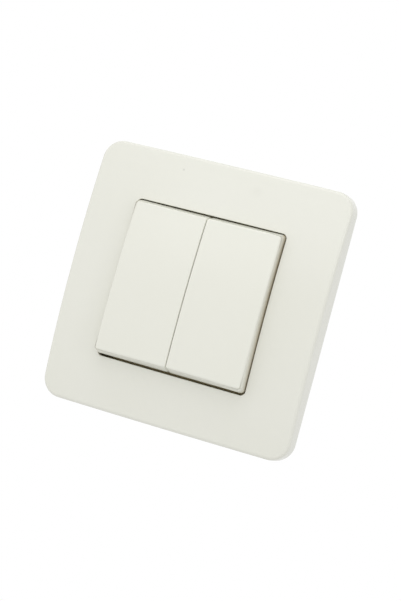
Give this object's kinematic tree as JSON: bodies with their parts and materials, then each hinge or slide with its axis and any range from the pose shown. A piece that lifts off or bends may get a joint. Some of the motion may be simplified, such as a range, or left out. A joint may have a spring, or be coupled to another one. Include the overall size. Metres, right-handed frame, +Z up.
{
  "type": "double two-way light switch",
  "caption": "Square flush wall switch: domed cover plate, paired tapered rockers, steel support frame and a changeover mechanism with screw clamps behind.",
  "frame": {"origin": "centre of the cover plate on the wall plane, midway between the box screws", "axes": "+X to the right, +Z up, -Y out of the wall towards the user, +Y into the wall box"},
  "size_m": [0.08, 0.0336, 0.08],
  "materials": {
    "cover_plastic": "gloss",
    "rocker_plastic": "gloss",
    "zinc_steel": "satin",
    "housing_plastic": "matte",
    "contact_metal": "satin",
    "screw_steel": "satin",
    "actuator_plastic": "matte",
    "plunger_plastic": "matte",
    "spring_steel": "satin",
    "brass": "satin"
  },
  "bodies": {
    "fixed": {"cover_plate": "cover_plastic", "support_frame": "zinc_steel", "mechanism_base": "housing_plastic", "mechanism_cover": "housing_plastic", "fixed_contacts": "contact_metal", "terminal_screws": "screw_steel", "left_common_terminal": "brass", "left_upper_terminal": "brass", "left_lower_terminal": "brass", "right_common_terminal": "brass", "right_upper_terminal": "brass", "right_lower_terminal": "brass"},
    "left_rocker_unit": {"left_rocker": "rocker_plastic", "left_actuator": "actuator_plastic", "left_plunger_spring": "spring_steel"},
    "left_plunger_unit": {"left_plunger": "plunger_plastic"},
    "left_lever_unit": {"left_contact_lever": "brass", "left_lever_contacts": "contact_metal"},
    "right_rocker_unit": {"right_rocker": "rocker_plastic", "right_actuator": "actuator_plastic", "right_plunger_spring": "spring_steel"},
    "right_plunger_unit": {"right_plunger": "plunger_plastic"},
    "right_lever_unit": {"right_contact_lever": "brass", "right_lever_contacts": "contact_metal"}
  },
  "joints": [
    {"name": "left_rocker_tip", "type": "hinge", "parent": "fixed", "child": "left_rocker_unit", "pos_m": [-0.01112, -0.005, 0], "axis": [1, 0, 0], "range_deg": [0, 4.4]},
    {"name": "right_rocker_tip", "type": "hinge", "parent": "fixed", "child": "right_rocker_unit", "pos_m": [0.01112, -0.005, 0], "axis": [1, 0, 0], "range_deg": [0, 4.4]},
    {"name": "left_lever_tip", "type": "hinge", "parent": "fixed", "child": "left_lever_unit", "pos_m": [-0.01112, 0.0104, 0], "axis": [1, 0, 0], "range_deg": [-9, 0]},
    {"name": "right_lever_tip", "type": "hinge", "parent": "fixed", "child": "right_lever_unit", "pos_m": [0.01112, 0.0104, 0], "axis": [1, 0, 0], "range_deg": [-9, 0]},
    {"name": "left_plunger_slide", "type": "slide", "parent": "left_rocker_unit", "child": "left_plunger_unit", "axis": [0, -0.9993, 0.0384], "range_m": [0, 0.0008], "stiffness_N_per_m": 1500, "springref_m": -0.001, "deforming": ["left_plunger_spring"]},
    {"name": "right_plunger_slide", "type": "slide", "parent": "right_rocker_unit", "child": "right_plunger_unit", "axis": [0, -0.9993, 0.0384], "range_m": [0, 0.0008], "stiffness_N_per_m": 1500, "springref_m": -0.001, "deforming": ["right_plunger_spring"]}
  ],
  "couplings": [
    {"joint": "left_lever_tip", "follows": "left_rocker_tip", "ratio": -2.0455},
    {"joint": "right_lever_tip", "follows": "right_rocker_tip", "ratio": -2.0455}
  ]
}
